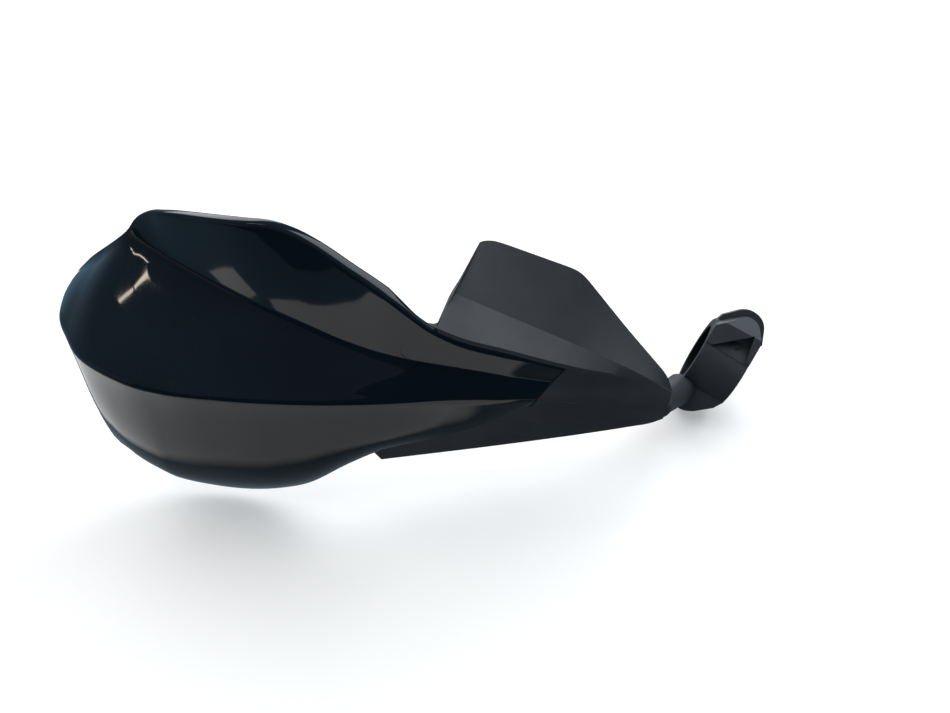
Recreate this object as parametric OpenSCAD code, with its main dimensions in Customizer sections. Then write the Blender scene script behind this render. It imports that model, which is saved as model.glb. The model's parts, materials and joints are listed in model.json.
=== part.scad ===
// Hand guard for the throttle side of a motorcycle handlebar, in millimetres.
// A glossy shield is screwed to a matt mount with a wind wing. A round arm carries the mount on a bar clamp.
// The origin is the centre of the clamp's bore. X runs along the guard towards the middle of the bar,
// Y runs back to the rider, and Z is up as the guard stands on a table.

/* [Shield] */
// Distance from the bar centre out to the shield's rounded end
shield_reach = 294; // [280:1:305]
// Distance from the bar centre forward to the shield's crease
shield_depth = 79; // [76:1:84]
// Height of the shield's top edge above the bar centre
shield_height = 108; // [100:1:116]
// Wall of the shield
shield_wall = 3; // [2.6:0.1:3.4]
// Thickness of the bead along the shield's top edge
bead_t = 4; // [3.2:0.2:5]
// Height of that bead
bead_h = 3; // [2:0.5:4]
// Swell of the shield's lower face between the crease and the bottom edge
belly = 7; // [4:0.5:9]
// Swell of the shield's middle face
brow = 2; // [0:0.5:3]
// Length of the blend on each side of the crease and the valley
soft = 2.6; // [2:0.1:3]

/* [Mount] */
// Open seam between the shield and the mount
seam = 0.3; // [0.2:0.05:0.45]
// Thickness of the tongue behind the shield
tongue_t = 3; // [2.5:0.1:3.5]
// Thickness of the wing and of the mount's front skin
skin_t = 3; // [2.4:0.1:3.4]
// Height of the lip that the wing's shelf sets on the shield's edge
shelf_lip = 2.2; // [1.6:0.1:3]
// Depth of the flange that turns back along the mount's bottom edge
flange_d = 12; // [8:1:14]
// Hollow of the wing between its foot and its top edge
wing_hollow = 2; // [0:0.5:3]

/* [Shield screws] */
// Diameter of the bosses behind the shield
boss_d = 8; // [7.4:0.2:9]
// Clearance round each boss in the tongue
boss_clear = 0.3; // [0.2:0.1:0.5]
// Wall of the collar round each boss on the tongue
collar_w = 2.2; // [1.8:0.2:2.8]
// Height of the collar behind the tongue
collar_h = 4; // [3:0.5:6]
// Shank diameter of the shield screws
tapper_d = 4; // [3:0.5:4.5]
// Shank length of the shield screws
tapper_l = 8; // [6:0.5:8.5]
// Head diameter of the shield screws
tapper_head_d = 8; // [7:0.5:9]
// Head height of the shield screws
tapper_head_h = 2.6; // [2:0.2:3.4]
// Outer diameter of the shield screws' washers
tapper_washer_d = 12; // [11:0.5:13]
// Thickness of the shield screws' washers
tapper_washer_t = 1; // [0.6:0.1:1.6]

/* [Clamp] */
// Diameter of the handlebar that the clamp takes
bar_d = 28.6; // [25.4:0.2:30]
// Width of the clamp along the bar
clamp_w = 23; // [22:0.5:25]
// Wall of the cap round the bar
cap_wall = 4; // [3.5:0.5:5]
// Wall of the front half at its inboard end
front_wall = 4.2; // [4:0.2:5]
// Extra wall of the front half at its outboard end, where the arm leaves
arm_swell = 0.6; // [0:0.2:2]
// Distance of each clamp screw from the bar centre, square to the bar
lug_z = 20.6; // [20:0.2:22]
// Distance of each clamp screw from the middle of the clamp, along the bar
lug_x = 3.2; // [2.4:0.2:4]
// Radius of the ears round the clamp screws
ear_r = 9.6; // [9:0.2:10]
// Thickness of the cap's ears
ear_t = 6; // [5.5:0.5:7]
// Radius of the hood round the upper clamp screw
hood_r = 6.4; // [6:0.2:7]
// Gap between the two halves
split_gap = 1.2; // [0.8:0.2:2]
// Angle by which the bar sweeps forward towards its middle
bar_sweep = 29; // [22:1:34]
// Angle by which the bar drops towards its middle
bar_drop = 15; // [10:1:20]
// Angle by which the clamp leans back round the bar
clamp_lean = 30; // [24:1:36]
// How far the hood over the front half stands forward
hood_reach = 15.5; // [14:0.5:17]
// Height of the hood's front edge above the bar centre
hood_edge = 20; // [19:0.5:21]
// Floor of the hollow under the hood, forward of the bar centre
hollow_floor = 10.5; // [9.5:0.5:12]

/* [Arm] */
// Diameter of the arm
arm_d = 12.6; // [11.5:0.1:13]
// Diameter of the arm's flare where it meets the clamp
flare_d = 15.4; // [14:0.2:17]
// Length of the flare
flare_l = 36; // [30:1:40]
// Thickness of the arm's foot
foot_t = 8; // [7:0.5:9]
// Height of the arm's foot
foot_h = 13; // [12:0.5:13.5]
// Distance between the two bolts in the foot
foot_pitch = 22; // [20:1:26]
// Depth of the foot's seat behind the mount's bottom edge
seat_stand = 8.4; // [8:0.2:9.4]

/* [Bolts] */
// Shank diameter of the clamp screws and the arm bolts
bolt_d = 5; // [4:0.5:5.5]
// Head diameter of those screws
bolt_head_d = 8.5; // [8:0.5:9]
// Head height of those screws
bolt_head_h = 4; // [3:0.5:5]
// Width across the flats of their hexagon socket
hex_af = 4; // [2.5:0.5:4.5]
// Depth of their hexagon socket
hex_depth = 2.4; // [1.5:0.1:2.8]
// Outer diameter of their washers
washer_d = 10; // [9.5:0.5:11]
// Thickness of their washers
washer_t = 1; // [0.8:0.1:1.6]
// Outer diameter of the brass inserts
insert_d = 7; // [6.8:0.2:7.6]
// Length of the brass inserts
insert_l = 6; // [5:0.5:6.5]
// Clearance between a shank and the hole round it
shank_clear = 0.1; // [0.05:0.05:0.15]

/* [Hidden] */

gloss = [0.06, 0.07, 0.09];
matt = [0.2, 0.21, 0.22];
steel = [0.7, 0.7, 0.72];
brass = [0.72, 0.6, 0.3];
bore_fn = 72;
screw_fn = 40;
eps = 0.01;

// The outline is drawn on a grid of this reach, depth and height, and stretched to the wanted sizes
draw_reach = 294;
draw_depth = 79;
draw_height = 108;

// Rails of the guard. Each entry is a station and the place of the rail there.
// Station 0 is the shield's inboard tip, station 100 its rear outboard corner,
// and the stations below 0 run along the mount to its inboard end.
top_rail = [
    [-31, [-42.3, -50, 23.5]], [-24, [-51, -53.5, 31.5]], [-16, [-65, -59, 40]], [0, [-95.5, -68.5, 54]],
    [12, [-119, -71.5, 64]], [21, [-137.5, -73, 71.5]], [26, [-147.5, -73, 77.5]], [31, [-158, -71, 86]],
    [39, [-173, -64.5, 96]], [46, [-186, -60, 104]], [49, [-191.5, -58.5, 106.5]], [53, [-198.5, -57, 108]],
    [60, [-211, -53.5, 107]], [69, [-227.5, -44.5, 104]], [77, [-242, -35, 100.5]], [81, [-249, -29, 97.5]],
    [84, [-254.5, -25.5, 93.5]], [88, [-260, -23.5, 87]], [94, [-274, -18, 75.5]], [100, [-291, -7, 62.5]]];
valley_rail = [
    [-31, [-42.3, -50.5, 21.5]], [-16, [-66, -59.5, 37]], [0, [-99.5, -69, 48.5]], [12, [-121.5, -73, 55]],
    [24, [-144, -73, 60]], [33, [-161.5, -69, 61]], [42, [-177.5, -62.5, 62]], [52, [-194, -56, 66]],
    [62, [-212.5, -48.5, 71]], [71, [-230.5, -40, 76.5]], [79, [-244.5, -33, 80.5]], [84, [-253, -29, 83]],
    [88, [-260.5, -25.5, 84]], [94, [-274.5, -20.5, 73]], [100, [-291, -8, 60]]];
crease_rail = [
    [-31, [-43, -51, 18]], [-16, [-73, -62, 30.5]], [0, [-105.5, -70.5, 40]], [12, [-127, -72, 41]],
    [29, [-154, -73.5, 42.5]], [51, [-194, -77, 46]], [66, [-222, -79, 50.5]], [76, [-241.5, -79, 54.5]],
    [82, [-256, -74.5, 56.5]], [87, [-270.5, -65, 58]], [92, [-281.5, -51.5, 58]], [96, [-291, -34.5, 57.5]],
    [98, [-294, -20, 57]], [100, [-292, -9.5, 56]]];
low_rail = [
    [-31, [-43.5, -51.3, 15.5]], [-16, [-73, -61, 26]], [0, [-107, -70.3, 37]], [6, [-118, -70, 30]],
    [24, [-145.5, -70, 19]], [38, [-170, -69.5, 10.5]], [42, [-178.5, -67.5, 3.5]], [51, [-196, -63.5, -12]],
    [57, [-205.5, -60.5, -18]], [64, [-220, -57.5, -22.5]], [72, [-238, -54.5, -23]], [80, [-256.5, -52.5, -17]],
    [86, [-270, -51.5, -5]], [90, [-277.5, -50, 9.5]], [91.5, [-277.5, -47.5, 19]], [95, [-284.5, -33, 34]],
    [100, [-291, -11.5, 50]]];
wing_rail = [
    [-31, [-42.5, -49.5, 26]], [-26, [-46.5, -50, 34.5]], [-12, [-66.2, -45.2, 55.5]], [2, [-86.5, -40.5, 78.5]],
    [4, [-89.5, -39.8, 80]], [19, [-119, -34, 88.5]], [22, [-123.5, -33, 89]], [24, [-126.5, -33.5, 88]]];
shelf_rail = [[-31, [-42.6, -49.8, 25]], [-16, [-64, -58, 43.5]], [24, [-137.5, -52.5, 78]]];
foot_rail = [
    [-31, [-44.2, -52.5, 11.5]], [-28, [-49, -54.5, 11.5]], [-20, [-60, -56.5, 11]], [-12, [-73, -58, 10]],
    [13, [-116, -63, 8]], [38, [-165.5, -67.5, 5.5]]];

// Swells of the two faces along the stations, as shares of the belly and the brow
belly_share = [[0, 0], [20, 0.05], [40, 0.5], [60, 1], [78, 1], [85, 0.5], [89, 0.15], [100, 0]];
brow_share = [[0, 0], [30, 0.2], [60, 1], [88, 1], [100, 0]];

// Stations where the sections of the shield and of the mount stand
shield_stations = concat([for (t = [0:3:42]) t], [for (t = [44.5:2.5:54.5]) t],
    [for (t = [58:3:76]) t], [for (t = [78:2:88]) t], [90, 91, 93, 95, 97.5, 100]);
wing_end = 24;
tongue_end = 38;
mount_free = [-31, -30, -28, -25, -22, -19, -16, -12, -8, -4];

// Even cubic curve through the points of a rail
function span_of(r, t) = max([0, for (i = [0:len(r) - 2]) if (r[i][0] <= t) i]);
function chord(r, i) = (r[i + 1][1] - r[i][1]) / (r[i + 1][0] - r[i][0]);
function width(r, i) = r[i + 1][0] - r[i][0];
function slope(r, i) =
    i == 0 ? chord(r, 0) :
    i == len(r) - 1 ? chord(r, i - 1) :
    (chord(r, i - 1) * width(r, i) + chord(r, i) * width(r, i - 1)) / (width(r, i) + width(r, i - 1));
function curve(r, t) =
    let (i = span_of(r, t), h = width(r, i), s = (t - r[i][0]) / h)
    (2 * s ^ 3 - 3 * s ^ 2 + 1) * r[i][1] + (s ^ 3 - 2 * s ^ 2 + s) * h * slope(r, i)
    + (3 * s ^ 2 - 2 * s ^ 3) * r[i + 1][1] + (s ^ 3 - s ^ 2) * h * slope(r, i + 1);
function stretch(p) =
    [p[0] * shield_reach / draw_reach, p[1] * shield_depth / draw_depth, p[2] * shield_height / draw_height];
function at(r, t) = stretch(curve(r, t));

function unit(v) = v / norm(v);
function mix(a, b, f) = a + (b - a) * f;
// The point a given distance from a towards b, kept inside the first part of the edge
function toward(a, b, d) = mix(a, b, min(d / norm(b - a), 0.4));
function blend(a, b, c) =
    let (p = toward(b, a, soft), q = toward(b, c, soft)) [p, (p + 2 * b + q) / 4, q];
// Level direction out of the shield, square to the crease
function outward(t) =
    let (d = at(crease_rail, t + 0.5) - at(crease_rail, t - 0.5)) unit([-d[1], d[0], 0]);

// Section of the guard's outer face from the top rail to the low rail
function section(t) =
    let (top = at(top_rail, t), valley = at(valley_rail, t),
        crease = at(crease_rail, t), low = at(low_rail, t),
        out = outward(min(max(t, -30), 99)),
        v = blend(top, valley, crease), c = blend(valley, crease, low),
        up = brow * lookup(t, brow_share) * unit(out * 0.6 + [0, 0, 0.8]),
        down = belly * lookup(t, belly_share) * unit(out - [0, 0, 0.25]))
    concat([top, toward(top, valley, bead_h), mix(top, valley, 0.5)], v,
        [for (f = [0.25, 0.5, 0.75]) mix(v[2], c[0], f) + up * sin(180 * f)], c,
        [for (f = [0.2, 0.4, 0.6, 0.8]) mix(c[2], low, f) + down * sin(180 * f ^ 1.5)], [low]);

// Inward direction at each point of a grid of sections, long enough to keep the wall in its corners
function edge_normal(along, across) = unit(cross(along, across));
function inward(grid) =
    [for (i = [0:len(grid) - 1])
        [for (j = [0:len(grid[i]) - 1])
            let (a = max(i - 1, 0), b = min(i + 1, len(grid) - 1), along = grid[b][j] - grid[a][j],
                last = len(grid[i]) - 1,
                n1 = edge_normal(along, grid[i][max(j, 1)] - grid[i][max(j, 1) - 1]),
                n2 = edge_normal(along, grid[i][min(j, last - 1) + 1] - grid[i][min(j, last - 1)]))
            -(n1 + n2) / max(1 + n1 * n2, 0.5)]];

// Closed solid over rings of equally many points, with two flat fans as ends
module skin_over(rings) {
    n = len(rings[0]);
    m = len(rings);
    points = [for (r = rings) each r];
    function id(i, j) = i * n + j % n;
    sides = [for (i = [0:m - 2], j = [0:n - 1]) each
        [[id(i, j), id(i + 1, j + 1), id(i + 1, j)], [id(i, j), id(i, j + 1), id(i + 1, j + 1)]]];
    half = n / 2;
    function cap(i, flip) = [for (j = [0:half - 2]) each let (k = n - 1 - j)
        flip ? [[id(i, j), id(i, j + 1), id(i, k)], [id(i, j + 1), id(i, k - 1), id(i, k)]]
        : [[id(i, j), id(i, k), id(i, j + 1)], [id(i, j + 1), id(i, k), id(i, k - 1)]]];
    polyhedron(points = points, faces = concat(sides, cap(0, false), cap(m - 1, true)), convexity = 8);
}

// Shield screws: place on the outer face, as a station and a share of the way between two rails
screw_places = [[30, "upper"], [14, "upper"], [30, "lower"], [14, "lower"]];
function screw_at(k) =
    let (t = screw_places[k][0], high = screw_places[k][1] == "upper")
    high ? mix(at(top_rail, min(t, wing_end)), at(valley_rail, t), 0.75)
    : mix(at(crease_rail, t), at(low_rail, t), 0.45);

// Outer face of the shield, and its inner face with the bead along the top edge
module shield_skin() {
    outer = [for (t = shield_stations) section(t)];
    dir = inward(outer);
    // The bead fades out where the wing's shelf takes over along the edge
    function wall_at(j, t) = j < 2 ? mix(shield_wall, bead_t, lookup(t, [[28, 0], [36, 1]])) : shield_wall;
    rings = [for (i = [0:len(outer) - 1])
        let (last = len(outer[i]) - 1)
        concat(outer[i], [for (j = [last:-1:0]) outer[i][j] + wall_at(j, shield_stations[i]) * dir[i][j]])];
    skin_over(rings);
}

// Stations of the mount: its free end, the step at the shield's tip, and the tongue behind the shield
mount_stations = concat(mount_free, [-0.5, -0.25], [for (t = [3:3:21]) t], [wing_end, wing_end + 0.25],
    [for (t = [27:3:36]) t], [tongue_end]);
set_back = shield_wall + seam;
end_skin = 2.2;
// How far the mount's lower face is set back, as a share of the shield's wall and seam
strip_share = [[0, 0], [12, 0.3], [38, 1]];
lip_share = [[-31, 0.25], [-16, 0.4], [0, 1]];
flange_share = [[-22, 0], [-15, 1], [31, 1], [38, 0.4]];

function mount_reference(t) =
    let (s = section(t), f = max(0, (t - wing_end) / (tongue_end - wing_end)),
        top = mix(s[0], s[3], 0.85 * f))
    concat([top, mix(top, s[3], 1 / 3), mix(top, s[3], 2 / 3)], [for (j = [3:16]) s[j]], [at(foot_rail, t)]);
// The tongue's free edge stands a little deeper, clear of the curved shield between two stations
function front_back(t) = t > -0.4 ? set_back + lookup(t, [[24, 0], [26, 0.6], [34, 0.4]]) : 0;
function inner_back(t) = t > -0.4 ? set_back + tongue_t : lookup(t, [[-22, end_skin], [-12, skin_t]]);
function wing_section(t) =
    let (e = at(wing_rail, t), f = at(shelf_rail, t), hollow = wing_hollow * lookup(t, [[-31, 0], [-16, 1]]))
    [e, mix(e, f, 1 / 3) + hollow * [0, 0.7, -0.7], mix(e, f, 2 / 3) + hollow * [0, 0.7, -0.7], f,
        at(top_rail, t) + [0, 0, shelf_lip * lookup(t, lip_share)]];

module mount_skin() {
    low = 16;
    reference = [for (t = mount_stations) mount_reference(t)];
    dir = inward(reference);
    wing = [for (t = mount_stations) wing_section(min(t, wing_end))];
    wing_dir = inward(wing);
    rings = [for (i = [0:len(mount_stations) - 1])
        let (t = mount_stations[i], r = reference[i], d = dir[i], w = wing[i],
            front = [for (j = [0:low]) r[j] + front_back(t) * d[j]],
            back = [for (j = [0:low]) r[j] + inner_back(t) * d[j]],
            strip = r[low] + set_back * lookup(t, strip_share) * d[low] - [0, 0, seam],
            foot = r[low + 1],
            reach = mix(end_skin + 1, flange_d, lookup(t, flange_share)),
            heel = foot + [0, reach, 0],
            rise = [0, 0, skin_t],
            nook = foot + [0, end_skin, 0] + rise,
            winged = t <= wing_end,
            drop = winged ? [0, 0, 1.8] : [0, 0, 0],
            wing_t = lookup(t, [[-22, end_skin], [-12, skin_t]]),
            outer_top = winged ? concat(w, [at(top_rail, t) + [0, 0, seam]])
                : [for (f = [0.45:-0.08:0.04]) mix(front[0], back[0], f)],
            inner_top = winged
                ? concat([for (j = [0:3]) w[j] + wing_t * wing_dir[i][j]],
                    [back[0] - [0, 0, 0.6], back[0] - [0, 0, 1.2]])
                : [for (f = [0.55:0.08:0.96]) mix(front[0], back[0], f)])
        concat(outer_top, front, [front[low] - [0, 0, seam], strip, foot, heel],
            [heel + rise, nook, mix(nook, back[low], 0.5), back[low] - [0, 0, seam]],
            [for (j = [low:-1:1]) back[j]], [back[0] - drop],
            [for (j = [5:-1:0]) inner_top[j]])];
    skin_over(rings);
}

// A boss stands straight back from the shield at each screw, through a collar on the tongue
collar_end = set_back + tongue_t + collar_h;
collar_d = boss_d + 2 * (boss_clear + collar_w);
// Share of a wall that a boss or collar is rooted in, and the pilot hole's room past its screw
root = 0.6;
pilot_room = 0.5;
module back_from(p, from, to, d) {
    translate(p + [0, from, 0]) rotate([-90, 0, 0]) cylinder(h = to - from, d = d, $fn = screw_fn);
}

module shield() {
    color(gloss) difference() {
        union() {
            shield_skin();
            for (k = [0:3]) back_from(screw_at(k), root * shield_wall, collar_end, boss_d);
        }
        for (k = [0:3])
            back_from(screw_at(k), collar_end + tapper_washer_t - tapper_l - pilot_room, collar_end + eps,
                tapper_d + 2 * shank_clear);
    }
}

// Seat of the arm's foot behind the mount, with one bolt at each end in a boss of its own
arm_boss_station = [-15.5, -4.5];
seat_y = -at(foot_rail, arm_boss_station[0])[1] - seat_stand;
seat_z = 20.5;
bolt_inner_x = -72;
function foot_bolt(k) = [bolt_inner_x - k * foot_pitch, -seat_y, seat_z];
insert_wall = 2.2;
arm_boss_d = insert_d + 2 * insert_wall;

module wing_mount() {
    color(matt) difference() {
        union() {
            mount_skin();
            for (k = [0:3]) back_from(screw_at(k), set_back + root * tongue_t, collar_end, collar_d);
            for (k = [0, 1]) arm_boss(k);
        }
        for (k = [0:3]) back_from(screw_at(k), 0, collar_end + eps, boss_d + 2 * boss_clear);
        for (k = [0, 1]) back_from(foot_bolt(k), -insert_l, eps, insert_d);
        for (k = [0, 1]) back_from(foot_bolt(k), -insert_l - end_room, 0, bolt_d + 2 * shank_clear);
    }
}
// Boss for one arm bolt, cut off at its front along the middle of the skin
module arm_boss(k) {
    t = arm_boss_station[k];
    low = at(low_rail, t);
    foot = at(foot_rail, t);
    out = unit(cross(at(low_rail, t + 1) - low, foot - low));
    face = mix(low, foot, (low[2] - seat_z) / (low[2] - foot[2])) - 0.5 * skin_t * out;
    difference() {
        back_from(foot_bolt(k), -3 * foot_t, 0, arm_boss_d);
        between(face, face + 3 * foot_t * out, 4 * arm_boss_d, 4 * arm_boss_d);
    }
}

// The clamp is drawn on the bar's axis: X along the bar towards its middle, Y back, Z towards the hood
module at_bar() {
    rotate([-clamp_lean, bar_drop, -bar_sweep]) children();
}
module along_bar(d1, d2, width) {
    rotate([0, 90, 0]) cylinder(h = width, d1 = d1, d2 = d2, center = true, $fn = bore_fn);
}
module bar_prism(width) {
    rotate([90, 0, 90]) linear_extrude(height = width, center = true) children();
}
half_gap = split_gap / 2;
half_w = clamp_w / 2;
// Thickness of the front half's lower ear, alone and with the web above it
front_ear_t = 9.5;
web_t = 11.5;
// Clearance of the spot face round a clamp washer, and length of a cut that runs clear of the clamp
spot_clear = 0.6;
far = 4 * clamp_w;
// Room left past the end of a screw or bolt
end_room = 1.5;
// The lower screw stands opposite the upper one, turned half round the middle of the clamp
function lug(k) = k * [lug_x, 0, lug_z];

// Point where the line from p just touches the circle round c
function touch(p, c, r, side) =
    let (v = p - c, a = atan2(v[1], v[0]) + side * acos(r / norm(v))) c + r * [cos(a), sin(a)];

// Shoulders of the ears and of the hood, each as a place along the bar and away from it
ear_foot = 15.2;
ear_inner = [half_w + 3.6, 17.4];
low_inner = [half_w + 1, 16.5];
ear_outer = [2.4 - half_w, 22];
hood_inner = [half_w, 18.5];
hood_outer = [0.2 - half_w, 17];
low_outer = [2.6 - half_w, 20];
low_r = ear_r - 2;
// Outline of an ear round the upper screw, running down over two shoulders to the clamp's width
module ear_outline(r, inner, outer) {
    c = [lug_x, lug_z];
    polygon([[half_w, 0], [half_w, ear_foot], inner, touch(inner, c, r, 1), touch(outer, c, r, -1), outer,
        [-half_w, ear_foot], [-half_w, 0]]);
    translate(c) circle(r, $fn = bore_fn);
}
// Slab between two places along Y, turned half round for the lower ear
module slab(k, from, to) {
    translate([0, to, 0]) rotate([90, 0, 0]) linear_extrude(height = to - from)
        rotate(90 - 90 * k) children();
}

// Profile of the hood over the barrel, with a bevel from the split down to its front edge
module hood_profile() {
    top = lug_z + hood_r;
    polygon([[-half_gap, 0], [-half_gap, top], [-4, top], [-hood_reach, hood_edge],
        [-hood_reach - 2.4, 8], [-hood_reach - 1, 0]]);
}
// Profile of the lower ear, with a web sloping down from the barrel
module lower_ear_profile() {
    tip = -lug_z - low_r;
    polygon([[-half_gap, 0], [-half_gap, tip], [-front_ear_t + 2, tip], [-front_ear_t, tip + 2],
        [-web_t, -14], [-web_t, 0]]);
}
// Three-cornered hollow under the hood, open to the front
module hood_hollow() {
    slab(1, -hollow_floor - hood_reach, -hollow_floor)
        polygon([[2.5 - half_w, 7.3], [half_w - 1.9, 6.6], [half_w - 4.5, hood_edge + 0.5]]);
}
// Small round mark in that hollow, on the barrel's surface
pin_mark_d = 2.4;
pin_mark = [3.2, 0, 11.8];

// The front half before the bore, the split and the screw holes are cut
module front_solid() {
    difference() {
        union() {
            along_bar(bar_d + 2 * (front_wall + arm_swell), bar_d + 2 * front_wall, clamp_w);
            intersection() {
                bar_prism(clamp_w) hood_profile();
                slab(1, -far, 0) ear_outline(hood_r, hood_inner, hood_outer);
            }
            intersection() {
                bar_prism(far) lower_ear_profile();
                slab(-1, -far, 0) ear_outline(low_r, low_inner, low_outer);
            }
        }
        hood_hollow();
    }
    along_bar(bar_d + 2 * front_wall - 2, bar_d + 2 * front_wall - 2, clamp_w - 1);
}
module front_cuts() {
    along_bar(bar_d, bar_d, far);
    translate([-far / 2, -half_gap, -far / 2]) cube(far);
    for (k = [-1, 1]) back_from(lug(k), -half_gap - insert_l, 0, insert_d);
    for (k = [-1, 1]) back_from(lug(k), -half_gap - insert_l - end_room, 0, bolt_d + 2 * shank_clear);
    back_from(pin_mark, -far / 2, -hollow_floor - end_room, pin_mark_d);
}

module clamp_cap() {
    color(matt) at_bar() difference() {
        union() {
            along_bar(bar_d + 2 * cap_wall, bar_d + 2 * cap_wall, clamp_w);
            slab(1, half_gap, ear_t) ear_outline(ear_r, ear_inner, ear_outer);
            slab(-1, half_gap, ear_t) ear_outline(ear_r, low_inner, ear_outer);
        }
        along_bar(bar_d, bar_d, far);
        translate([-far / 2, half_gap - far, -far / 2]) cube(far);
        for (k = [-1, 1]) back_from(lug(k), 0, ear_t + eps, bolt_d + 2 * shank_clear);
        for (k = [-1, 1]) back_from(lug(k), ear_t, far / 2, washer_d + spot_clear);
    }
}

// The arm leaves the clamp's outboard side, bends at an elbow, and ends in a flat foot behind the mount.
// The elbow stands this far behind the foot's seat. The balls that round both bends stand a little proud of
// the arm. Outboard of the clamp the flare clears the bar.
elbow_lead = 8;
elbow = [-43, elbow_lead - seat_y, 9.8];
arm_start = [-19.3, -9.2, -9.6];
joint_d = arm_d + 0.4;
foot_start = [-60, -seat_y + joint_d / 2 + 0.2, 18.9];
bar_relief = 5;
module between(a, b, d1, d2) {
    v = b - a;
    translate(a) rotate([0, acos(v[2] / norm(v)), atan2(v[1], v[0])])
        cylinder(h = norm(v), d1 = d1, d2 = d2, $fn = bore_fn);
}
module arm_solid() {
    flare_end = arm_start + (elbow - arm_start) * flare_l / norm(elbow - arm_start);
    between(arm_start, flare_end, flare_d, arm_d);
    between(arm_start, elbow, arm_d, arm_d);
    translate(elbow) sphere(d = joint_d, $fn = bore_fn);
    between(elbow, foot_start, arm_d, arm_d);
    translate(foot_start) rotate([0, 90, 0]) sphere(d = joint_d, $fn = bore_fn);
    for (k = [0, 1]) back_from(foot_bolt(k), 0, foot_t, foot_h);
    translate(foot_bolt(1) - [0, 0, foot_h / 2]) cube([foot_start[0] - foot_bolt(1)[0], foot_t, foot_h]);
}

module clamp_arm() {
    color(matt) difference() {
        union() {
            at_bar() front_solid();
            difference() {
                arm_solid();
                at_bar() translate([-half_w - far / 2, 0, 0])
                    along_bar(bar_d + bar_relief, bar_d + bar_relief, far);
            }
        }
        at_bar() front_cuts();
        for (k = [0, 1]) back_from(foot_bolt(k), -eps, foot_t + eps, bolt_d + 2 * shank_clear);
    }
}

// Socket screw pointing forward, with its head behind the seat at the origin
module socket_screw(length) {
    color(steel) difference() {
        union() {
            back_from([0, 0, 0], -length, 0.5, bolt_d);
            back_from([0, 0, 0], 0, bolt_head_h, bolt_head_d);
        }
        translate([0, bolt_head_h - hex_depth, 0]) rotate([-90, 0, 0])
            cylinder(h = hex_depth + eps, d = hex_af / cos(30), $fn = 6);
    }
}
module ring(outer, inner, thickness) {
    difference() {
        back_from([0, 0, 0], 0, thickness, outer);
        back_from([0, 0, 0], -eps, thickness + eps, inner);
    }
}
// Washers and inserts, each behind the place where its screw enters
module washer_on(p) {
    color(steel) translate(p) ring(washer_d, bolt_d + 2 * shank_clear, washer_t);
}
module insert_in(p) {
    color(brass) translate(p - [0, insert_l, 0]) ring(insert_d, bolt_d + 2 * shank_clear, insert_l);
}
module clamp_screw(k) {
    grip = ear_t + washer_t + half_gap + insert_l - pilot_room;
    at_bar() translate(lug(k) + [0, ear_t + washer_t, 0]) socket_screw(grip);
}
module clamp_washer(k) {
    at_bar() washer_on(lug(k) + [0, ear_t, 0]);
}
module clamp_insert(k) {
    at_bar() insert_in(lug(k) - [0, half_gap, 0]);
}
module arm_bolt(k) {
    translate(foot_bolt(k) + [0, foot_t + washer_t, 0]) socket_screw(foot_t + washer_t + insert_l - pilot_room);
}
module arm_washer(k) {
    washer_on(foot_bolt(k) + [0, foot_t, 0]);
}
module arm_insert(k) {
    insert_in(foot_bolt(k));
}

// Pan-head screw with a cross-shaped recess. The head's lower part is straight and its upper part tapers.
module shield_screw(k) {
    recess = 0.9;
    rim_h = 0.6 * tapper_head_h;
    arm_w = 2.8;
    color(steel) translate(screw_at(k) + [0, collar_end + tapper_washer_t, 0]) difference() {
        union() {
            back_from([0, 0, 0], -tapper_l, 0.5, tapper_d);
            back_from([0, 0, 0], 0, rim_h, tapper_head_d);
            translate([0, rim_h, 0]) rotate([-90, 0, 0])
                cylinder(h = tapper_head_h - rim_h, d1 = tapper_head_d, d2 = 0.7 * tapper_head_d, $fn = screw_fn);
        }
        for (turn = [0, 90]) translate([0, tapper_head_h + eps, 0]) rotate([0, turn, 0])
            cube([0.5 * tapper_head_d, arm_w, recess], center = true);
    }
}
module shield_washer(k) {
    color(steel) translate(screw_at(k) + [0, collar_end, 0])
        ring(tapper_washer_d, tapper_d + 2 * shank_clear, tapper_washer_t);
}

shield();
wing_mount();
clamp_arm();
clamp_cap();
clamp_screw(1);  // clamp_screw_upper
clamp_screw(-1);  // clamp_screw_lower
clamp_washer(1);  // clamp_washer_upper
clamp_washer(-1);  // clamp_washer_lower
clamp_insert(1);  // clamp_insert_upper
clamp_insert(-1);  // clamp_insert_lower
arm_bolt(0);  // arm_bolt_inner
arm_bolt(1);  // arm_bolt_outer
arm_washer(0);  // arm_washer_inner
arm_washer(1);  // arm_washer_outer
arm_insert(0);  // arm_insert_inner
arm_insert(1);  // arm_insert_outer
shield_screw(0);  // shield_screw_a
shield_screw(1);  // shield_screw_b
shield_screw(2);  // shield_screw_c
shield_screw(3);  // shield_screw_d
shield_washer(0);  // shield_washer_a
shield_washer(1);  // shield_washer_b
shield_washer(2);  // shield_washer_c
shield_washer(3);  // shield_washer_d
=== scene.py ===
"""Looks of the hand guard: smooth shield and mount over the CAD frame, materials, light and camera."""

import json
import math

import bmesh
import bpy
import numpy as np
from mathutils import Matrix, Vector


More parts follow.
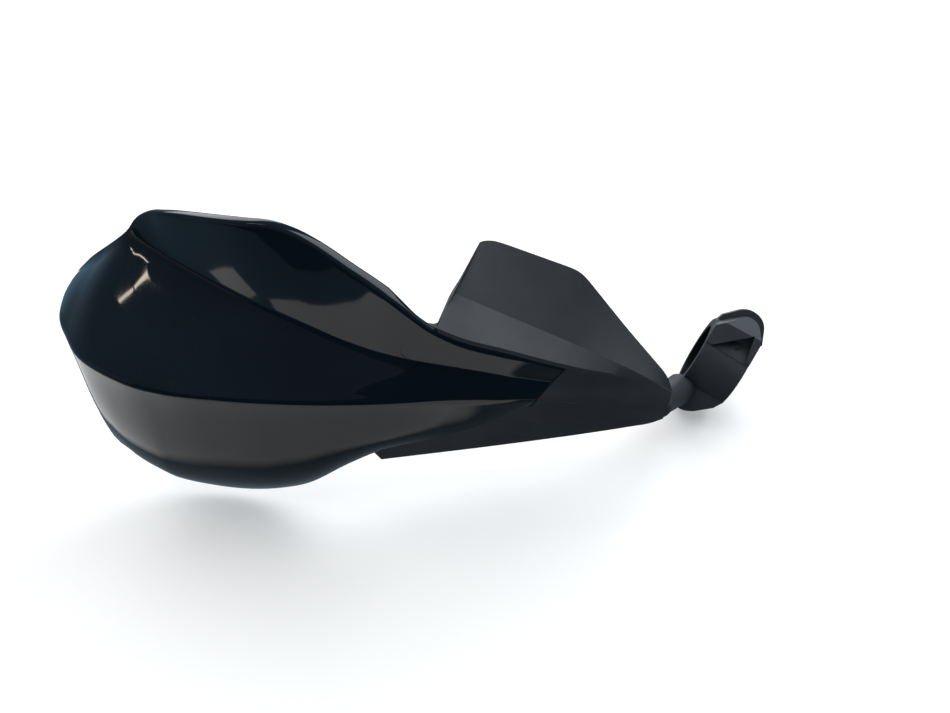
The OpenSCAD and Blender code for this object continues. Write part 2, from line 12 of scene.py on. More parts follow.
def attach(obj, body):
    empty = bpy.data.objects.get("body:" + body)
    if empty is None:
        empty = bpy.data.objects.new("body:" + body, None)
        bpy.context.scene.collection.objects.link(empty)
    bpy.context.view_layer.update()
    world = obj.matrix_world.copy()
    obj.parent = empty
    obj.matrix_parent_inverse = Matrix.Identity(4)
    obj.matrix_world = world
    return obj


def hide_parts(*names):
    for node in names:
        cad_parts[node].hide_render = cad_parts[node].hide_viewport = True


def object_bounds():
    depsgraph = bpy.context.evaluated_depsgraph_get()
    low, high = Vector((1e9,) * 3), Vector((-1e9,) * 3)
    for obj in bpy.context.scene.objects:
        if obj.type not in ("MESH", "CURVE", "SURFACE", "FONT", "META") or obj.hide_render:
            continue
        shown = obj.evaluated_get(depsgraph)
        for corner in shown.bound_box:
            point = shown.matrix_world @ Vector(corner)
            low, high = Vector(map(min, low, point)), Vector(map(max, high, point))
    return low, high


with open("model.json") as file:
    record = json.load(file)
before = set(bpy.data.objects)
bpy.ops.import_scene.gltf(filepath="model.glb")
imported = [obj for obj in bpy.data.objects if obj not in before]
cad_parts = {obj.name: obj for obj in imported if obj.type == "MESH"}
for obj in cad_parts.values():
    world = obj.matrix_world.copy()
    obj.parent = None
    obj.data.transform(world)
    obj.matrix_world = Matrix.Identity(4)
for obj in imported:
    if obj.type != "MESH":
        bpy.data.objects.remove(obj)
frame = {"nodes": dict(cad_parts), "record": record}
cad_box = [list(map(float, c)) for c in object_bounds()]

# ---------------------------------------------------------------- sizes in millimetres
# As in part.scad.
SHIELD_WALL, BEAD_T, SOFT, BELLY, BROW = 3.0, 4.0, 2.6, 7.0, 2.0
SEAM, TONGUE_T, SKIN_T, SHELF_LIP, FLANGE_D = 0.3, 3.0, 3.0, 2.2, 12.0
BOSS_D, BOSS_CLEAR, COLLAR_W, COLLAR_H, INSERT_WALL = 8.0, 0.3, 2.2, 4.0, 2.2
WING_END, TONGUE_END, END_SKIN = 24.0, 38.0, 2.2
SET_BACK = SHIELD_WALL + SEAM
COLLAR_END = SET_BACK + TONGUE_T + COLLAR_H
SEAT_Y, SEAT_Z, BOLT_X, FOOT_PITCH, INSERT_D = 48.9673, 20.5, -72.0, 22.0, 7.0
BAR_WAY = (0.84482, -0.46829, -0.25882)  # direction of the handlebar, as the record's bar_clamp
BORE_R = 0.0143  # in metres

# The scene's own, each set by comparing the render with the photo.
WING_HOLLOW = 0.4
WING_EASE = 1.8  # rail distance over which the wing's corners are eased
END_ROUND, ROUND_FROM, RAIL_END = 6.0, 94, 100
TOP_EDGE_R, LOW_EDGE_R = 1.5, 1.0  # rounding of the shield's edges
PILOT_R, COLLAR_FOOT, ARM_BOSS_FOOT = 2.1, 1.8, (-8.0, -12.0)
MIRROR_LEAN = [[-24, 0], [-4, 1.6], [8, 2.6], [30, 2.6], [44, 1.2], [58, 0]]
LEAN_WAY = np.array([0.1, 0.75, -0.66])
LIP = [[28, SHIELD_WALL], [33, BEAD_T + 1.2], [60, BEAD_T + 1.0], [76, BEAD_T]]

# Rails: [distance along the guard, [x, y, z]]. TOP at 39 to 60 and the ends at 92 to 100 are moved in from part.scad.
TOP = [
    [-31, [-42.3, -50, 23.5]], [-24, [-51, -53.5, 31.5]], [-16, [-65, -59, 40]], [0, [-95.5, -68.5, 54]],
    [12, [-119, -71.5, 64]], [21, [-137.5, -73, 71.5]], [26, [-147.5, -73, 77.5]], [31, [-158, -71, 86]],
    [39, [-173, -64.5, 94.7]], [46, [-186, -60, 102.5]], [49, [-191.5, -58.5, 105.1]], [53, [-198.5, -57, 107.1]],
    [60, [-211, -53.5, 106.7]], [69, [-227.5, -44.5, 104]], [77, [-242, -35, 100.5]], [81, [-249, -29, 97.5]],
    [84, [-254.5, -25.5, 93.5]], [88, [-260, -23.5, 87]], [94, [-274, -18, 75.5]], [100, [-289.8, -7, 62.5]]]
VALLEY = [
    [-31, [-42.3, -50.5, 21.5]], [-16, [-66, -59.5, 37]], [0, [-99.5, -69, 48.5]], [12, [-121.5, -73, 55]],
    [24, [-144, -73, 60]], [33, [-161.5, -69, 61]], [42, [-177.5, -62.5, 62]], [52, [-194, -56, 66]],
    [62, [-212.5, -48.5, 71]], [71, [-230.5, -40, 76.5]], [79, [-244.5, -33, 80.5]], [84, [-253, -29, 83]],
    [88, [-260.5, -25.5, 84]], [94, [-274.5, -20.5, 73]], [100, [-289.8, -8, 60]]]
CREASE = [
    [-31, [-43, -51, 18]], [-16, [-73, -62, 30.5]], [0, [-105.5, -70.5, 40]], [12, [-127, -72, 41]],
    [29, [-154, -73.5, 42.5]], [51, [-194, -77, 46]], [66, [-222, -79, 50.5]], [76, [-241.5, -79, 54.5]],
    [82, [-256, -74.5, 56.5]], [87, [-270.5, -65, 58]], [92, [-280.8, -51.5, 58]], [96, [-289.2, -34.5, 57.5]],
    [98, [-291.9, -20, 57]], [100, [-290.6, -9.5, 56]]]
LOW = [
    [-31, [-43.5, -51.3, 15.5]], [-16, [-73, -61, 26]], [0, [-107, -70.3, 37]], [6, [-118, -70, 30]],
    [24, [-145.5, -70, 19]], [38, [-170, -69.5, 10.5]], [42, [-178.5, -67.5, 3.5]], [51, [-196, -63.5, -12]],
    [57, [-205.5, -60.5, -18]], [64, [-220, -57.5, -22.5]], [72, [-238, -54.5, -23]], [80, [-256.5, -52.5, -17]],
    [86, [-270, -51.5, -5]], [90, [-277.5, -50, 9.5]], [91.5, [-277.5, -47.5, 19]], [95, [-284.5, -33, 34]],
    [100, [-289.8, -11.5, 50]]]
WING = [
    [-31, [-42.5, -49.5, 26]], [-26, [-46.5, -50, 34.5]], [-12, [-66.2, -45.2, 55.5]], [2, [-86.5, -40.5, 78.5]],
    [4, [-89.5, -39.8, 80]], [19, [-119, -34, 88.5]], [22, [-123.5, -33, 89]], [24, [-126.5, -33.5, 88]]]
SHELF = [[-31, [-42.6, -49.8, 25]], [-16, [-64, -58, 43.5]], [24, [-137.5, -52.5, 78]]]
FOOT = [
    [-31, [-44.2, -52.5, 11.5]], [-28, [-49, -54.5, 11.5]], [-20, [-60, -56.5, 11]], [-12, [-73, -58, 10]],
    [13, [-116, -63, 8]], [38, [-165.5, -67.5, 5.5]]]
BELLY_SHARE = [[0, 0], [20, 0.05], [40, 0.5], [60, 1], [78, 1], [85, 0.5], [89, 0.15], [100, 0]]
BROW_SHARE = [[0, 0], [30, 0.2], [60, 1], [88, 1], [100, 0]]
STRIP_SHARE = [[0, 0], [12, 0.3], [38, 1]]
LIP_SHARE = [[-31, 0.25], [-16, 0.4], [0, 1]]
FLANGE_SHARE = [[-22, 0], [-15, 1], [31, 1], [38, 0.4]]
VALLEY_AT, LOW_AT = 3, 16  # places of the valley's start and of the low rail in section()

SHIELD_STATIONS = ([round(x, 3) for x in np.arange(0, 91, 1.0)] + [91.5] + list(np.arange(92, 98, 0.5))
                   + [98, 98.5, 99, 99.3, 99.6, 99.8, 99.95, 100])
MOUNT_STATIONS = sorted(set([-31.0, -30.5, -30.0] + list(np.arange(-29, -1, 1.0)) + [-0.5, -0.25]
                            + list(np.arange(1, 24, 1.0)) + [24.0, 24.25] + list(np.arange(25, 38.1, 1.0))))


# ---------------------------------------------------------------- rails and sections
def curve(r, t):
    """Even cubic curve through the points of a rail."""
    ts = [q[0] for q in r]
    p = [np.array(q[1], float) for q in r]
    last = len(r) - 1
    i = max([0] + [k for k in range(last) if ts[k] <= t])

    def width(k):
        return ts[k + 1] - ts[k]

    def chord(k):
        return (p[k + 1] - p[k]) / width(k)

    def slope(k):
        if k == 0:
            return chord(0)
        if k == last:
            return chord(last - 1)
        return (chord(k - 1) * width(k) + chord(k) * width(k - 1)) / (width(k) + width(k - 1))

    h = width(i)
    s = (t - ts[i]) / h
    return ((2 * s**3 - 3 * s**2 + 1) * p[i] + (s**3 - 2 * s**2 + s) * h * slope(i)
            + (3 * s**2 - 2 * s**3) * p[i + 1] + (s**3 - s**2) * h * slope(i + 1))


def straight(r, t):
    """Point on the straight lines between a rail's points, with its corners eased."""
    ts, p = [q[0] for q in r], np.array([q[1] for q in r], float)
    reach = min(WING_EASE, t - ts[0], ts[-1] - t)
    near = np.linspace(t - reach, t + reach, 7)
    return np.array([np.interp(near, ts, p[:, k]).mean() for k in range(3)])


def unit(v):
    return v / np.linalg.norm(v)


def mix(a, b, f):
    return a + (b - a) * f


def look(t, table):
    return float(np.interp(t, [q[0] for q in table], [q[1] for q in table]))


def toward(a, b, d):
    return mix(a, b, min(d / np.linalg.norm(b - a), 0.4))


def blend(a, b, c, n):
    """n + 1 points of the rounded corner b."""
    p, q = toward(b, a, SOFT), toward(b, c, SOFT)
    return [(1 - s)**2 * p + 2 * s * (1 - s) * b + s**2 * q for s in np.linspace(0, 1, n + 1)]


def outward(t):
    d = curve(CREASE, t + 0.5) - curve(CREASE, t - 0.5)
    return unit(np.array([-d[1], d[0], 0.0]))


def section(t, fine=1):
    """The guard's outer face from the top rail to the low rail; fine = 1 gives as many points as the CAD has."""
    top, valley, crease, low = (curve(r, t) for r in (TOP, VALLEY, CREASE, LOW))
    lean = look(t, MIRROR_LEAN) * LEAN_WAY
    valley, crease = valley + lean, crease - lean
    out = outward(min(max(t, -30), 99))
    v, c = blend(top, valley, crease, 2 * fine), blend(valley, crease, low, 2 * fine)
    up = BROW * look(t, BROW_SHARE) * unit(out * 0.6 + np.array([0, 0, 0.8]))
    down = BELLY * look(t, BELLY_SHARE) * unit(out - np.array([0, 0, 0.25]))
    head = [top, toward(top, valley, 3.0), mix(top, valley, 0.5)]
    if fine > 1:
        steps = np.linspace(0, 1, 2 * fine + 1)[:-1]
        head = [top, toward(top, valley, 1.5)] + [mix(head[1], v[0], f) for f in steps]
    mid = [mix(v[-1], c[0], f) + up * math.sin(math.pi * f) for f in np.linspace(0, 1, 4 * fine + 1)[1:-1]]
    face = [mix(c[-1], low, f) + down * math.sin(math.pi * f**1.5) for f in np.linspace(0, 1, 5 * fine + 1)[1:-1]]
    return np.array(head + v + mid + c + face + [low])


def shorten(points, cut):
    """The same number of points along the line, with cut millimetres off both ends."""
    p = np.asarray(points)
    s = np.concatenate([[0], np.cumsum(np.linalg.norm(np.diff(p, axis=0), axis=1))])
    cut = min(cut, s[-1] * 0.38)
    at = cut + s * (s[-1] - 2 * cut) / s[-1]
    return np.stack([np.interp(at, s, p[:, k]) for k in range(3)], 1)


def inward(g):
    """Inward direction at each point of a grid of sections, lengthened in its corners."""
    g = np.asarray(g)
    n = len(g)
    i = np.arange(n)
    along = g[np.minimum(i + 1, n - 1)] - g[np.maximum(i - 1, 0)]
    step = g[:, 1:] - g[:, :-1]
    before = np.concatenate([step[:, :1], step], 1)
    after = np.concatenate([step, step[:, -1:]], 1)

    def normal(across):
        c = np.cross(along, across)
        return c / np.maximum(np.linalg.norm(c, axis=2, keepdims=True), 1e-9)

    n1, n2 = normal(before), normal(after)
    return -(n1 + n2) / np.maximum(1 + (n1 * n2).sum(2, keepdims=True), 0.5)


def rounded(p, q, down, r):
    """Points round a free edge between outer corner p and inner corner q; down points into the wall."""
    e = unit(q - p)
    r = min(r, np.linalg.norm(q - p) * 0.45)
    arc = np.linspace(0, math.pi / 2, 5)
    first = [p + e * r * (1 - math.cos(a)) + down * r * (1 - math.sin(a)) for a in arc]
    second = [q - e * r * (1 - math.sin(a)) + down * r * (1 - math.cos(a)) for a in arc]
    return first, second


# ---------------------------------------------------------------- meshes
def link(o):
    bpy.context.scene.collection.objects.link(o)
    return o


def new_mesh(name, verts, faces):
    me = bpy.data.meshes.new(name)
    me.from_pydata(verts, [], faces)
    me.update()
    return me


def skin(name, rings):
    """Closed mesh over rings of equally many points, in millimetres."""
    rings = np.asarray(rings)
    m, n = rings.shape[:2]
    verts = [tuple(p / 1000) for r in rings for p in r]
    faces = [(i * n + j, i * n + (j + 1) % n, (i + 1) * n + (j + 1) % n, (i + 1) * n + j)
             for i in range(m - 1) for j in range(n)]
    for i, flip in ((0, True), (m - 1, False)):
        for j in range(n // 2 - 1):
            k = n - 1 - j
            q = (i * n + j, i * n + j + 1, i * n + k - 1, i * n + k)
            faces.append(q[::-1] if flip else q)
    return new_mesh(name, verts, faces)


def add_tube(bm, centre, y0, y1, r_out, r_in, n=48):
    """Tube straight back from the guard from y0 to y1, in millimetres, with its far end chamfered."""
    profile = [(y0, r_out), (y1 - 0.4, r_out), (y1, r_out - 0.4), (y1, r_in + 0.3), (y1 - 0.3, r_in), (y0, r_in)]
    turns = np.linspace(0, 2 * math.pi, n, endpoint=False)
    rings = [[bm.verts.new((Vector(centre) + Vector((r * math.cos(a), y, r * math.sin(a)))) / 1000) for a in turns]
             for y, r in profile]
    for a, b in zip(rings, rings[1:]):
        for k in range(n):
            bm.faces.new((a[k], b[k], b[(k + 1) % n], a[(k + 1) % n]))


def finish_mesh(name, me, tubes, angle=40, edge_line=()):
    """Object on the root body with its tubes, shaded smooth; edges over the angle or on edge_line are sharp."""
    def grid(p, per_unit):
        return tuple(np.round(np.array(p) * per_unit).astype(int))

    on_line = {grid(p, 100) for p in edge_line}
    bm = bmesh.new()
    bm.from_mesh(me)
    bmesh.ops.remove_doubles(bm, verts=bm.verts, dist=2e-6)
    bmesh.ops.recalc_face_normals(bm, faces=bm.faces)
    for tube in tubes:
        add_tube(bm, *tube)
    bm.normal_update()
    for f in bm.faces:
        f.smooth = True
    for e in bm.edges:
        on = all(grid(v.co, 1e5) in on_line for v in e.verts)
        if on or len(e.link_faces) == 2 and e.calc_face_angle(0) > math.radians(angle):
            e.smooth = False
    bm.to_mesh(me)
    bm.free()
    o = link(bpy.data.objects.new(name, me))
    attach(o, "root")
    return o


def screw_at(k):
    """Place of shield screw a, b, c or d on the guard's outer face."""
    t, high = ((30, True), (14, True), (30, False), (14, False))[k]
    if high:
        return mix(curve(TOP, min(t, WING_END)), curve(VALLEY, t), 0.75)
    return mix(curve(CREASE, t), curve(LOW, t), 0.45)


def arm_bolt_at(k):
    return np.array([BOLT_X - k * FOOT_PITCH, -SEAT_Y, SEAT_Z])


def shield_mesh():
    past = [max(0, (t - ROUND_FROM) / (RAIL_END - ROUND_FROM)) for t in SHIELD_STATIONS]
    cuts = [END_ROUND * (1 - math.sqrt(1 - p**2)) for p in past]
    coarse = [shorten(section(t), c) for t, c in zip(SHIELD_STATIONS, cuts)]
    fine = [shorten(section(t, 4), c) for t, c in zip(SHIELD_STATIONS, cuts)]
    dirs = inward(coarse)
    back = np.array(coarse) + dirs * SHIELD_WALL
    rings = []
    for i, t in enumerate(SHIELD_STATIONS):
        lip = look(t, LIP)
        inner = back[i].copy()
        for k in (0, 1):
            inner[k] = coarse[i][k] + dirs[i][k] * lip
        top_a, top_b = rounded(fine[i][0], inner[0], unit(fine[i][2] - fine[i][0]), TOP_EDGE_R)
        low_a, low_b = rounded(fine[i][-1], inner[-1], unit(fine[i][-2] - fine[i][-1]), LOW_EDGE_R)
        step = mix(inner[1], inner[2], 0.08) + dirs[i][1] * (SHIELD_WALL - lip) * 0.9
        rings.append(top_a[::-1] + list(fine[i][2:-1]) + low_a + low_b + list(inner[1:-1][::-1])[:-1]
                     + [step, inner[1]] + top_b[::-1])
    even = len(rings[0]) // 2 * 2
    return skin("shield_smooth", [r[:even] for r in rings])


def front_back(t):
    """Depth of the mount's front face behind the guard's outer face."""
    return SET_BACK + look(t, [[24, 0], [26, 0.6], [34, 0.4]]) if t > -0.4 else 0.0


def inner_back(t):
    """Depth of the mount's inner face behind the guard's outer face."""
    return SET_BACK + TONGUE_T if t > -0.4 else look(t, [[-22, END_SKIN], [-12, SKIN_T]])


def mount_reference(t):
    """Outer face down to the foot rail; past the wing its top sinks behind the shield to form the tongue."""
    s = section(t)
    f = max(0.0, (t - WING_END) / (TONGUE_END - WING_END)) + 0.15 * look(t, [[24, 0], [24.5, 1], [30, 1], [36, 0]])
    valley = s[VALLEY_AT]
    top = mix(s[0], valley, 0.85 * f)
    return np.array([top, mix(top, valley, 1 / 3), mix(top, valley, 2 / 3)] + list(s[VALLEY_AT:LOW_AT + 1])
                    + [curve(FOOT, t)])


def wing_section(t, n=9):
    e, f = straight(WING, t), curve(SHELF, t)
    hollow = WING_HOLLOW * look(t, [[-31, 0], [-16, 1]]) * 1.15 * np.array([0, 0.7, -0.7])
    pts = [mix(e, f, s) + hollow * math.sin(math.pi * s) for s in np.linspace(0, 1, n + 1)]
    return np.array(pts + [curve(TOP, t) + np.array([0, 0, SHELF_LIP * look(t, LIP_SHARE)])])


def mount_mesh():
    ref = np.array([mount_reference(t) for t in MOUNT_STATIONS])
    dirs = inward(ref)
    wing = np.array([wing_section(min(t, WING_END)) for t in MOUNT_STATIONS])
    wing_dirs = inward(wing)
    up, rear = np.array([0, 0, 1.0]), np.array([0, 1.0, 0])
    m = wing.shape[1]
    rings = []
    for i, t in enumerate(MOUNT_STATIONS):
        r, d, w = ref[i], dirs[i], wing[i]
        front = [r[j] + front_back(t) * d[j] for j in range(LOW_AT + 1)]
        back = [r[j] + inner_back(t) * d[j] for j in range(LOW_AT + 1)]
        strip = r[LOW_AT] + SET_BACK * look(t, STRIP_SHARE) * d[LOW_AT] - SEAM * up
        foot = r[LOW_AT + 1]
        heel = foot + mix(END_SKIN + 1, FLANGE_D, look(t, FLANGE_SHARE)) * rear
        rise = SKIN_T * up
        if t <= WING_END:
            wall = look(t, [[-22, END_SKIN], [-12, SKIN_T]])
            outer_top = list(w) + [curve(TOP, t) + SEAM * up]
            inner_top = [w[j] + wall * wing_dirs[i][j] for j in range(m - 1)]
            inner_top += [back[0] - 0.6 * up, back[0] - 1.2 * up]
            drop = 1.8 * up
        else:
            outer_top = [mix(front[0], back[0], f) for f in np.linspace(0.48, 0.02, m + 1)]
            inner_top = [mix(front[0], back[0], f) for f in np.linspace(0.52, 0.98, m + 1)]
            drop = 0 * up
        a, b = foot + END_SKIN * rear + rise, back[LOW_AT] - SEAM * up
        rings.append(outer_top + front + [front[LOW_AT] - SEAM * up, strip, foot, heel]
                     + [heel + rise, a, mix(a, back[LOW_AT], 0.5), b]
                     + back[LOW_AT:0:-1] + [back[0] - drop] + inner_top[::-1])
    return skin("mount_smooth", rings)


shield_bosses = [(screw_at(k), SHIELD_WALL * 0.6, COLLAR_END, BOSS_D / 2, PILOT_R) for k in range(4)]
collar_r = BOSS_D / 2 + BOSS_CLEAR
collars = [(screw_at(k), SET_BACK + COLLAR_FOOT, COLLAR_END, collar_r + COLLAR_W, collar_r) for k in range(4)]
arm_bosses = [(arm_bolt_at(k), ARM_BOSS_FOOT[k], 0, INSERT_D / 2 + INSERT_WALL, INSERT_D / 2) for k in range(2)]
shield = finish_mesh("shield_skin", shield_mesh(), shield_bosses)
mount = finish_mesh("mount_skin", mount_mesh(), collars + arm_bosses, angle=28,
                    edge_line=[curve(SHELF, t) for t in MOUNT_STATIONS if -24 < t <= WING_END])
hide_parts("shield")
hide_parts("wing_mount")


# ---------------------------------------------------------------- materials
def new_material(name):
    m = bpy.data.materials.new(name)
    m.use_nodes = True
    return m, m.node_tree


def mixed_colour(nt, share, a, b):
    """Colour between a and b, each a socket or a plain colour."""
    mixer = nt.nodes.new("ShaderNodeMix")
    mixer.data_type = "RGBA"
    nt.links.new(share, mixer.inputs[0])
    for place, colour in ((6, a), (7, b)):
        if isinstance(colour, tuple):
            mixer.inputs[place].default_value = (*colour, 1)
        else:
            nt.links.new(colour, mixer.inputs[place])
    return mixer.outputs[2]


def show_mixed(nt, share, a, b):
    """Sends a mix of shaders a and b to the material's output."""
    mixer = nt.nodes.new("ShaderNodeMixShader")
    nt.links.new(share, mixer.inputs["Fac"])
    nt.links.new(a.outputs[0], mixer.inputs[1])
    nt.links.new(b.outputs[0], mixer.inputs[2])
    nt.links.new(mixer.outputs[0], nt.nodes["Material Output"].inputs["Surface"])


def material(name, colour, rough, bump, scale, cells=False, dust=0.0, metal=0.0, mottle=0.12, shine=0.5,
             painted_bore_shade=False):
    """Principled material with colour drift, roughness drift, fine grain, a little dust in places and, where asked,
    painted shade in the clamp's bore.
    """
    m, nt = new_material(name)
    b = nt.nodes["Principled BSDF"]
    pos = nt.nodes.new("ShaderNodeTexCoord").outputs["Object"]

    def noise(sc, detail, rough_=0.5):
        n = nt.nodes.new("ShaderNodeTexNoise")
        n.inputs["Scale"].default_value = sc
        n.inputs["Detail"].default_value = detail
        n.inputs["Roughness"].default_value = rough_
        nt.links.new(pos, n.inputs["Vector"])
        return n.outputs["Fac"]

    def ramp(src, low, high, low_at=0.35, high_at=0.65):
        r = nt.nodes.new("ShaderNodeValToRGB")
        for stop, at, value in zip(r.color_ramp.elements, (low_at, high_at), (low, high)):
            stop.position = at
            stop.color = (*value, 1)
        nt.links.new(src, r.inputs["Fac"])
        return r.outputs["Color"]

    base = ramp(noise(28, 4), tuple(c * (1 - mottle) for c in colour), tuple(min(1, c * (1 + mottle)) for c in colour))
    if dust:
        spots = ramp(noise(700, 2, 0.7), (0, 0, 0), (dust,) * 3, 0.68, 0.78)
        base = mixed_colour(nt, spots, base, (0.35, 0.34, 0.33))
    # Painted shade: the base colour goes near black inside the bar's bore, standing in for the shade in that hole.
    if painted_bore_shade:
        cross = nt.nodes.new("ShaderNodeVectorMath")
        cross.operation = "CROSS_PRODUCT"
        cross.inputs[1].default_value = BAR_WAY
        nt.links.new(pos, cross.inputs[0])
        off_axis = nt.nodes.new("ShaderNodeVectorMath")
        off_axis.operation = "LENGTH"
        nt.links.new(cross.outputs[0], off_axis.inputs[0])
        outside = nt.nodes.new("ShaderNodeMapRange")
        outside.inputs["From Min"].default_value = BORE_R + 0.0002
        outside.inputs["From Max"].default_value = BORE_R + 0.0012
        nt.links.new(off_axis.outputs["Value"], outside.inputs["Value"])
        base = mixed_colour(nt, outside.outputs[0], (0.004, 0.004, 0.005), base)
    nt.links.new(base, b.inputs["Base Color"])
    drift = ramp(noise(60, 5, 0.6), (rough * 0.86,) * 3, (min(1, rough * 1.14),) * 3)
    nt.links.new(drift, b.inputs["Roughness"])
    b.inputs["Metallic"].default_value = metal
    b.inputs["IOR"].default_value = 1.5
    b.inputs["Specular IOR Level"].default_value = shine
    grain = nt.nodes.new("ShaderNodeBump")
    grain.inputs["Strength"].default_value = bump
    grain.inputs["Distance"].default_value = 0.0002
    if cells:
        v = nt.nodes.new("ShaderNodeTexVoronoi")
        v.inputs["Scale"].default_value = scale
        nt.links.new(pos, v.inputs["Vector"])
        nt.links.new(v.outputs["Distance"], grain.inputs["Height"])
    else:
        nt.links.new(noise(scale, 4, 0.55), grain.inputs["Height"])
    nt.links.new(grain.outputs["Normal"], b.inputs["Normal"])
    return m


def wear(obj, mat):
    obj.data.materials.clear()
    obj.data.materials.append(mat)


gloss = material("gloss_black", (0.0042, 0.0072, 0.0108), 0.05, 0.05, 45, dust=0.02, mottle=0.2, shine=0.35)
matt = material("matt_grain", (0.048, 0.051, 0.056), 0.52, 0.3, 2600, cells=True, dust=0.05, shine=0.22)
satin = material("satin_grain", (0.042, 0.044, 0.049), 0.42, 0.25, 2200, cells=True, dust=0.05, shine=0.3,
                 painted_bore_shade=True)
steel = material("zinc_steel", (0.5, 0.5, 0.52), 0.3, 0.2, 1500, metal=1.0)
brass = material("turned_brass", (0.62, 0.45, 0.19), 0.3, 0.15, 1500, metal=1.0)
wear(shield, gloss)
shield.visible_glossy = False  # it mirrors the room and the floor, not itself: its own black patch isn't in the photo
wear(mount, matt)
SLOTS = {s["node"]: s["material_slot"] for s in frame["record"]["subparts"]}
BY_SLOT = {"shield": gloss, "mount": matt, "arm": satin, "screws": steel, "inserts": brass}
for node, obj in frame["nodes"].items():
    for s in obj.material_slots:
        s.material = BY_SLOT[SLOTS[node]]


# ---------------------------------------------------------------- floor
low_z = min(cad_box[0][2], float(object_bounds()[0][2]))


def floor_material():
    """White where it is seen or mirrored, darker in the light that it throws back on the object."""
    m, nt = new_material("floor_white")
    white = nt.nodes["Principled BSDF"]
    white.inputs["Base Color"].default_value = (0.72, 0.705, 0.69, 1)
    white.inputs["Emission Color"].default_value = (1, 1, 1, 1)
    white.inputs["Emission Strength"].default_value = 0.34
    white.inputs["Roughness"].default_value = 0.9
    white.inputs["Specular IOR Level"].default_value = 0.1
    dull = nt.nodes.new("ShaderNodeBsdfDiffuse")
    dull.inputs["Color"].default_value = (0.13, 0.13, 0.13, 1)
    path = nt.nodes.new("ShaderNodeLightPath")
    share = path.outputs["Is Camera Ray"]
    for kind in ("Is Glossy Ray", "Is Transmission Ray"):
        add = nt.nodes.new("ShaderNodeMath")
        add.use_clamp = True
        nt.links.new(share, add.inputs[0])
        nt.links.new(path.outputs[kind], add.inputs[1])
        share = add.outputs[0]
    show_mixed(nt, share, dull, white)
    return m


bpy.ops.mesh.primitive_plane_add(size=12, location=(-0.12, 0.6, low_z - 0.0002))
floor = bpy.context.object
floor.name = "floor"
wear(floor, floor_material())

# ---------------------------------------------------------------- dark cards, one of them a painted shadow
card_z = low_z + 0.0005
NEAR_Y, FAR_Y, SIDE_X = -0.172, -1.4, 1.6  # edges of the dark ground in front of the guard
ROOM_DARK, ROOM_SIDE, ROOM_LEFT = (0.03, 0.073, 0.128), (0.122, 0.183, 0.244), (0.122, 0.213, 0.3)
# Colour of the painted shadow under the guard, seen only in mirrored rays.
PAINTED_SHADOW_DARK = (0.14, 0.18, 0.21)


def card(name, verts, faces, colour):
    """Dark card that only mirrored rays meet, as a photographer's black flag beside a glossy thing; shade_card makes a
    painted shadow with it.
    """
    o = link(bpy.data.objects.new(name, new_mesh(name, verts, faces)))
    m, nt = new_material(name)
    glow = nt.nodes.new("ShaderNodeEmission")
    glow.inputs["Color"].default_value = (*colour, 1)
    nt.links.new(glow.outputs[0], nt.nodes["Material Output"].inputs["Surface"])
    wear(o, m)
    for kind in ("camera", "diffuse", "transmission", "volume_scatter", "shadow"):
        setattr(o, "visible_" + kind, False)
    return o, nt, glow


def plain_card(name, corners, colour):
    card(name, corners, [tuple(range(len(corners)))], colour)


def shade_card(name, edge, back_y, soft, colour):
    """Painted shadow: card on the floor whose front edge, a line of (x, y) points, fades out over soft metres."""
    n = len(edge)
    verts = [(x, y, card_z) for x, y in edge] + [(x, y + soft, card_z) for x, y in edge] \
        + [(x, back_y, card_z) for x, y in edge]
    faces = [(r * n + i, r * n + i + 1, (r + 1) * n + i + 1, (r + 1) * n + i) for r in range(2) for i in range(n - 1)]
    o, nt, glow = card(name, verts, faces, colour)
    layer = o.data.attributes.new("strength", "FLOAT", "POINT")
    for i in range(len(verts)):
        layer.data[i].value = 0.0 if i < n else 1.0
    clear = nt.nodes.new("ShaderNodeBsdfTransparent")
    attr = nt.nodes.new("ShaderNodeAttribute")
    attr.attribute_name = "strength"
    show_mixed(nt, attr.outputs["Fac"], clear, glow)


plain_card("flag_left", [(-0.304, -0.096, card_z), (-0.288, -0.138, card_z), (-0.278, -0.152, card_z),
                         (-0.27, NEAR_Y, card_z), (-SIDE_X, NEAR_Y, card_z), (-SIDE_X, 2.0, card_z),
                         (-0.72, 2.0, card_z), (-0.39, 0.1, card_z), (-0.375, -0.05, card_z),
                         (-0.345, -0.082, card_z)], ROOM_LEFT)
plain_card("flag_side", [(-1.3, -0.2, card_z), (-0.9, 1.3, card_z), (-0.9, 1.3, 0.45), (-1.3, -0.2, 0.45)], ROOM_SIDE)
plain_card("flag_front", [(-SIDE_X, NEAR_Y, card_z), (0.9, NEAR_Y, card_z), (SIDE_X, FAR_Y, card_z),
                          (-SIDE_X, FAR_Y, card_z)], ROOM_DARK)
plain_card("flag_far", [(-SIDE_X, FAR_Y, card_z), (SIDE_X, FAR_Y, card_z), (SIDE_X, FAR_Y, 0.55),
                        (-SIDE_X, FAR_Y, 0.55)], ROOM_DARK)
# Painted shadow: a dark card under the guard's front, seen only in mirrored rays, stands in for the guard's own shadow
# on the floor.
shade_card("painted_shadow_card", [(-0.4, 0.1), (-0.33, -0.015), (-0.302, -0.056), (-0.272, -0.086), (-0.235, -0.097),
                          (-0.19, -0.109), (-0.155, -0.104), (-0.122, -0.106), (-0.095, -0.126), (-0.07, -0.171),
                          (0.4, -0.171)], 0.15, 0.012, PAINTED_SHADOW_DARK)

# ---------------------------------------------------------------- lamps, none of them seen by the camera
GUARD = (-0.14, -0.03, 0.03)
TUBE_COLOUR, TUBE_WIDTH = (1.0, 0.86, 0.7), 0.03


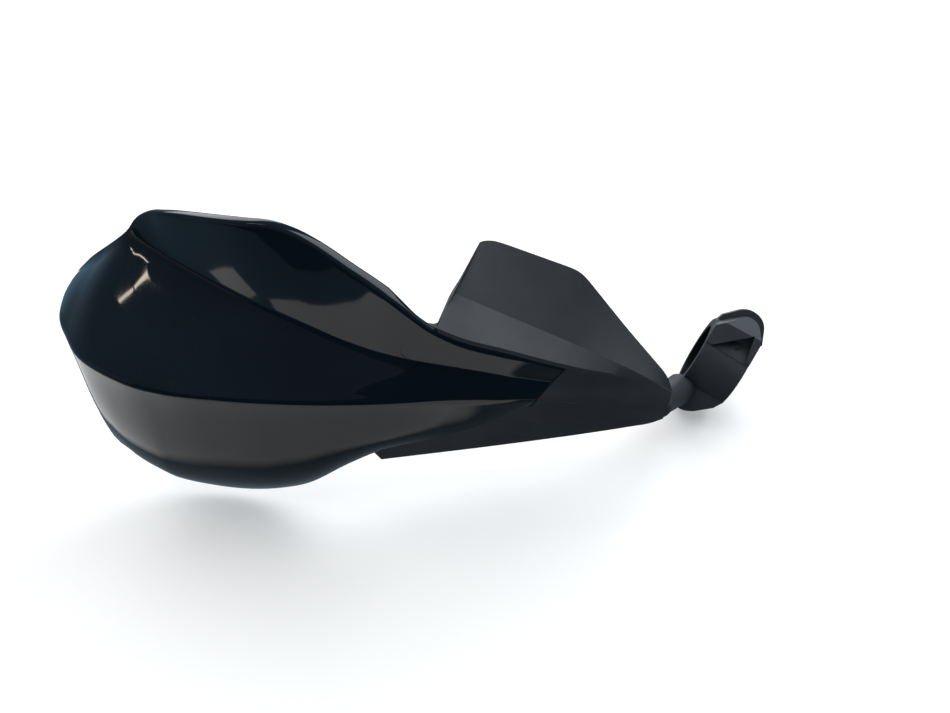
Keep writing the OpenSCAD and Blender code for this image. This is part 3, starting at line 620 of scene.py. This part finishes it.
def lamp(name, size, power, colour, glossy=True):
    d = bpy.data.lights.new(name, "AREA")
    d.shape = "RECTANGLE"
    d.size, d.size_y = size
    d.energy = power
    d.color = colour
    o = link(bpy.data.objects.new(name, d))
    o.visible_glossy = glossy
    o.visible_camera = False
    return o


def area(name, loc, size, power, colour=(1, 1, 1), glossy=True):
    """Rectangular lamp that faces the guard."""
    o = lamp(name, size, power, colour, glossy)
    o.location = loc
    o.rotation_mode = "QUATERNION"
    o.rotation_quaternion = (Vector(GUARD) - Vector(loc)).to_track_quat("-Z", "Y")


def tube(name, a, b, power):
    """Thin ceiling lamp from a to b that faces down."""
    a, b = Vector(a), Vector(b)
    o = lamp(name, ((b - a).length, TUBE_WIDTH), power, TUBE_COLOUR)
    along = (b - a).normalized()
    up = Vector((0, 0, 1)).cross(along).normalized()
    o.matrix_world = Matrix.Translation((a + b) / 2) @ Matrix((along, up, along.cross(up))).transposed().to_4x4()


area("overhead", (-0.2, 0.3, 1.6), (2.6, 2.6), 34, (1.0, 0.985, 0.96), glossy=False)
area("front_fill", (-0.4, -1.5, 1.2), (2.0, 1.4), 1.5, glossy=False)
area("back_sheen", (-0.8, 1.4, 0.8), (1.5, 0.7), 10, (0.92, 0.96, 1.0))
area("side_sheen", (0.75, 0.63, 1.28), (1.3, 0.9), 11, (0.88, 0.94, 1.0))
tube("tube_a", (-1.24, -0.05, 1.5), (-0.90, 0.07, 1.5), 0.67)
tube("tube_b", (-0.87, 0.08, 1.5), (-0.60, 0.18, 1.5), 0.55)

# ---------------------------------------------------------------- world: pale at the horizon, bluer and darker above
world = bpy.data.worlds.new("room")
bpy.context.scene.world = world
world.use_nodes = True
wn = world.node_tree
bg = wn.nodes["Background"]
tc = wn.nodes.new("ShaderNodeTexCoord")
sep = wn.nodes.new("ShaderNodeSeparateXYZ")
wr = wn.nodes.new("ShaderNodeValToRGB")
wr.color_ramp.elements[0].position = 0.0
wr.color_ramp.elements[0].color = (0.3, 0.315, 0.33, 1)
wr.color_ramp.elements[1].position = 0.45
wr.color_ramp.elements[1].color = (0.11, 0.17, 0.23, 1)
wn.links.new(tc.outputs["Generated"], sep.inputs[0])
wn.links.new(sep.outputs["Z"], wr.inputs["Fac"])
wn.links.new(wr.outputs["Color"], bg.inputs["Color"])
bg.inputs["Strength"].default_value = 1.0

# ---------------------------------------------------------------- camera, as fitted to the photo
FOCAL_PX, PICTURE_PX, SENSOR_MM = 740, 950, 36
cd = bpy.data.cameras.new("camera")
cam = link(bpy.data.objects.new("camera", cd))
cd.sensor_width = SENSOR_MM
cd.lens = FOCAL_PX / PICTURE_PX * SENSOR_MM
cd.clip_start, cd.clip_end = 0.01, 50
cam.matrix_world = Matrix((
    (0.99667, 0.00893, -0.08099, -0.15145), (-0.06844, 0.63115, -0.77263, -0.27841),
    (0.04422, 0.77561, 0.62967, 0.23151), (0, 0, 0, 1)))
sc = bpy.context.scene
sc.camera = cam
sc.view_settings.view_transform = "Standard"
